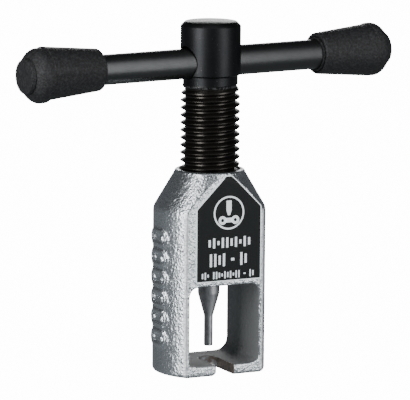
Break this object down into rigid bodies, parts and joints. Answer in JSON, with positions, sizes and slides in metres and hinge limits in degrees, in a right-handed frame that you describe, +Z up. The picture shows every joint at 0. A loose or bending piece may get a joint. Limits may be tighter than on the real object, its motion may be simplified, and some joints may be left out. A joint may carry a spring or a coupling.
{
  "type": "bicycle chain tool",
  "caption": "Screw-type chain tool: cast yoke with a chain window and slotted anvil, threaded spindle, swivelling push pin and sliding tommy bar with end caps.",
  "frame": {"origin": "middle of the yoke's flat base, on the spindle's axis", "axes": "+Z up the spindle axis towards its head; +X along the yoke's width and, within 7 degrees, along the tommy bar; the label is on the -Y side"},
  "size_m": [0.1407, 0.033, 0.1171],
  "materials": {
    "cast_yoke": "as-cast, galvanised bright, pebbled",
    "label": "matt black film with pale print",
    "black_oxide": "turned and blackened, oiled",
    "pin_steel": "ground and hardened",
    "spring_wire": "drawn wire",
    "bar_steel": "satin, blackened",
    "cap_rubber": "matt, fine grain"
  },
  "bodies": {
    "yoke": {"yoke": "cast_yoke", "label_plate": "label"},
    "punch": {"push_pin": "pin_steel", "pin_snap_ring": "spring_wire"},
    "spindle": {"spindle": "black_oxide"},
    "handle_bar": {"tommy_bar": "bar_steel", "handle_cap_left": "cap_rubber", "handle_cap_right": "cap_rubber"}
  },
  "joints": [
    {"name": "punch_feed", "type": "slide", "parent": "yoke", "child": "punch", "axis": [0, 0, -1], "range_m": [-0.02, 0.0175]},
    {"name": "spindle_turn", "type": "hinge", "parent": "punch", "child": "spindle", "pos_m": [0, 0, 0.06], "axis": [0, 0, -1], "range_deg": [-2880, 2520]},
    {"name": "bar_slide", "type": "slide", "parent": "spindle", "child": "handle_bar", "axis": [0.9932, 0.1167, 0], "range_m": [-0.031, 0.0327]}
  ],
  "couplings": [
    {"joint": "punch_feed", "follows": "spindle_turn", "m_per_rad": 0.00039789}
  ]
}
